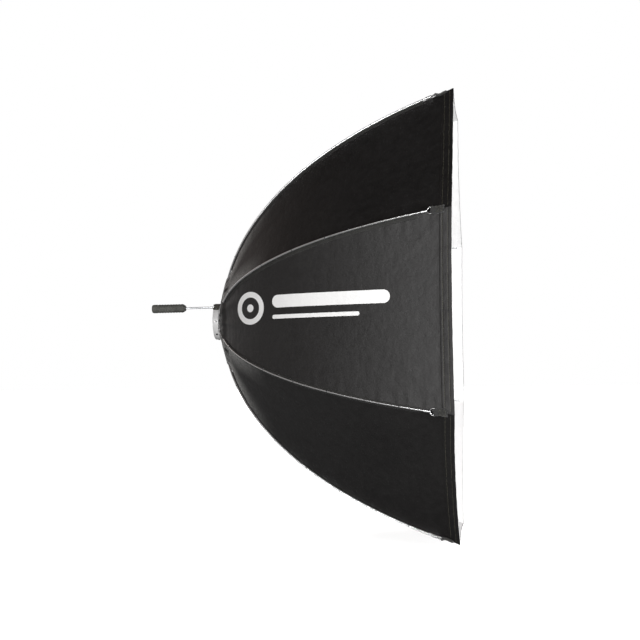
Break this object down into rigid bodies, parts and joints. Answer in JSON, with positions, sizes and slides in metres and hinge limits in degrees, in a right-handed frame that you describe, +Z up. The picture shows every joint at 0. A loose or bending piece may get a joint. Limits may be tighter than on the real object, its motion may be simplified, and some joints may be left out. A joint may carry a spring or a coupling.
{
  "type": "umbrella reflector",
  "caption": "Deep umbrella reflector, black outside and silver inside, with outside ribs, a hub dish with sliding runner, centre shaft and tilting grip.",
  "frame": {"origin": "on the reflector axis at the root of the free length of the centre shaft, 60 mm in front of the plane of the rib pivots", "axes": "+X out of the opening along the reflector axis, -X towards the hand grip, +Z up"},
  "size_m": [1.0091, 1.3832, 1.3832],
  "materials": {
    "white_paint": "satin white powder coat",
    "aluminium": "satin anodised",
    "bright_steel": "bright drawn steel",
    "black_steel": "black oxide",
    "black_plastic": "moulded matte",
    "grey_plastic": "moulded matte dark grey",
    "black_rubber": "ribbed",
    "grey_rubber": "ribbed dark grey",
    "black_fabric": "black woven outside, silver lining inside"
  },
  "bodies": {
    "hub": {"hub_dish": "white_paint", "hub_back_cover": "white_paint", "cover_screws": "black_steel", "rim_screws": "black_steel", "rib_hinge_pins": "bright_steel", "runner_tube": "aluminium", "stop_ring": "bright_steel", "centre_shaft": "bright_steel", "shaft_pin": "bright_steel", "shaft_end_plug": "black_plastic", "handle_bracket": "grey_plastic", "bracket_screws": "bright_steel", "pivot_bolt": "bright_steel", "pivot_nut": "bright_steel"},
    "runner": {"runner_collar": "black_plastic", "runner_grip": "black_rubber"},
    "lock_knob": {"lock_screw": "black_plastic"},
    "handle": {"handle_eye": "grey_plastic", "handle_rod": "bright_steel", "handle_grip": "grey_rubber", "grip_end_cap": "black_plastic"},
    "rib_1": {"rib_1_socket": "aluminium", "rib_1_rod": "bright_steel", "rib_1_tip": "bright_steel", "canopy_panel_1": "black_fabric"},
    "rib_2": {"rib_2_socket": "aluminium", "rib_2_rod": "bright_steel", "rib_2_tip": "bright_steel", "canopy_panel_2": "black_fabric"},
    "rib_3": {"rib_3_socket": "aluminium", "rib_3_rod": "bright_steel", "rib_3_tip": "bright_steel", "canopy_panel_3": "black_fabric"},
    "rib_4": {"rib_4_socket": "aluminium", "rib_4_rod": "bright_steel", "rib_4_tip": "bright_steel", "canopy_panel_4": "black_fabric"},
    "rib_5": {"rib_5_socket": "aluminium", "rib_5_rod": "bright_steel", "rib_5_tip": "bright_steel", "canopy_panel_5": "black_fabric"},
    "rib_6": {"rib_6_socket": "aluminium", "rib_6_rod": "bright_steel", "rib_6_tip": "bright_steel", "canopy_panel_6": "black_fabric"},
    "rib_7": {"rib_7_socket": "aluminium", "rib_7_rod": "bright_steel", "rib_7_tip": "bright_steel", "canopy_panel_7": "black_fabric"},
    "rib_8": {"rib_8_socket": "aluminium", "rib_8_rod": "bright_steel", "rib_8_tip": "bright_steel", "canopy_panel_8": "black_fabric"}
  },
  "joints": [
    {"name": "rib_1_fold", "type": "hinge", "parent": "hub", "child": "rib_1", "pos_m": [-0.06, -0.04065, 0.01684], "axis": [0, 0.3827, 0.9239], "range_deg": [0, 42], "deforming": ["canopy_panel_1"]},
    {"name": "rib_2_fold", "type": "hinge", "parent": "hub", "child": "rib_2", "pos_m": [-0.06, -0.01684, 0.04065], "axis": [0, 0.9239, 0.3827], "range_deg": [0, 42], "deforming": ["canopy_panel_2"]},
    {"name": "rib_3_fold", "type": "hinge", "parent": "hub", "child": "rib_3", "pos_m": [-0.06, 0.01684, 0.04065], "axis": [0, 0.9239, -0.3827], "range_deg": [0, 42], "deforming": ["canopy_panel_3"]},
    {"name": "rib_4_fold", "type": "hinge", "parent": "hub", "child": "rib_4", "pos_m": [-0.06, 0.04065, 0.01684], "axis": [0, 0.3827, -0.9239], "range_deg": [0, 42], "deforming": ["canopy_panel_4"]},
    {"name": "rib_5_fold", "type": "hinge", "parent": "hub", "child": "rib_5", "pos_m": [-0.06, 0.04065, -0.01684], "axis": [0, -0.3827, -0.9239], "range_deg": [0, 42], "deforming": ["canopy_panel_5"]},
    {"name": "rib_6_fold", "type": "hinge", "parent": "hub", "child": "rib_6", "pos_m": [-0.06, 0.01684, -0.04065], "axis": [0, -0.9239, -0.3827], "range_deg": [0, 42], "deforming": ["canopy_panel_6"]},
    {"name": "rib_7_fold", "type": "hinge", "parent": "hub", "child": "rib_7", "pos_m": [-0.06, -0.01684, -0.04065], "axis": [0, -0.9239, 0.3827], "range_deg": [0, 42], "deforming": ["canopy_panel_7"]},
    {"name": "rib_8_fold", "type": "hinge", "parent": "hub", "child": "rib_8", "pos_m": [-0.06, -0.04065, -0.01684], "axis": [0, -0.3827, 0.9239], "range_deg": [0, 42], "deforming": ["canopy_panel_8"]},
    {"name": "runner_slide", "type": "slide", "parent": "hub", "child": "runner", "axis": [1, 0, 0], "range_m": [-0.018, 0]},
    {"name": "lock_knob_turn", "type": "hinge", "parent": "runner", "child": "lock_knob", "pos_m": [-0.02804, 0, 0.022], "axis": [0, 0, 1], "range_deg": [-180, 180]},
    {"name": "handle_tilt", "type": "hinge", "parent": "hub", "child": "handle", "pos_m": [-0.089, 0, 0.048], "axis": [0, 1, 0], "range_deg": [-58, 56]}
  ],
  "couplings": [
    {"joint": "rib_2_fold", "follows": "rib_1_fold", "ratio": 1},
    {"joint": "rib_3_fold", "follows": "rib_1_fold", "ratio": 1},
    {"joint": "rib_4_fold", "follows": "rib_1_fold", "ratio": 1},
    {"joint": "rib_5_fold", "follows": "rib_1_fold", "ratio": 1},
    {"joint": "rib_6_fold", "follows": "rib_1_fold", "ratio": 1},
    {"joint": "rib_7_fold", "follows": "rib_1_fold", "ratio": 1},
    {"joint": "rib_8_fold", "follows": "rib_1_fold", "ratio": 1},
    {"joint": "runner_slide", "follows": "rib_1_fold", "m_per_rad": -0.02444}
  ]
}
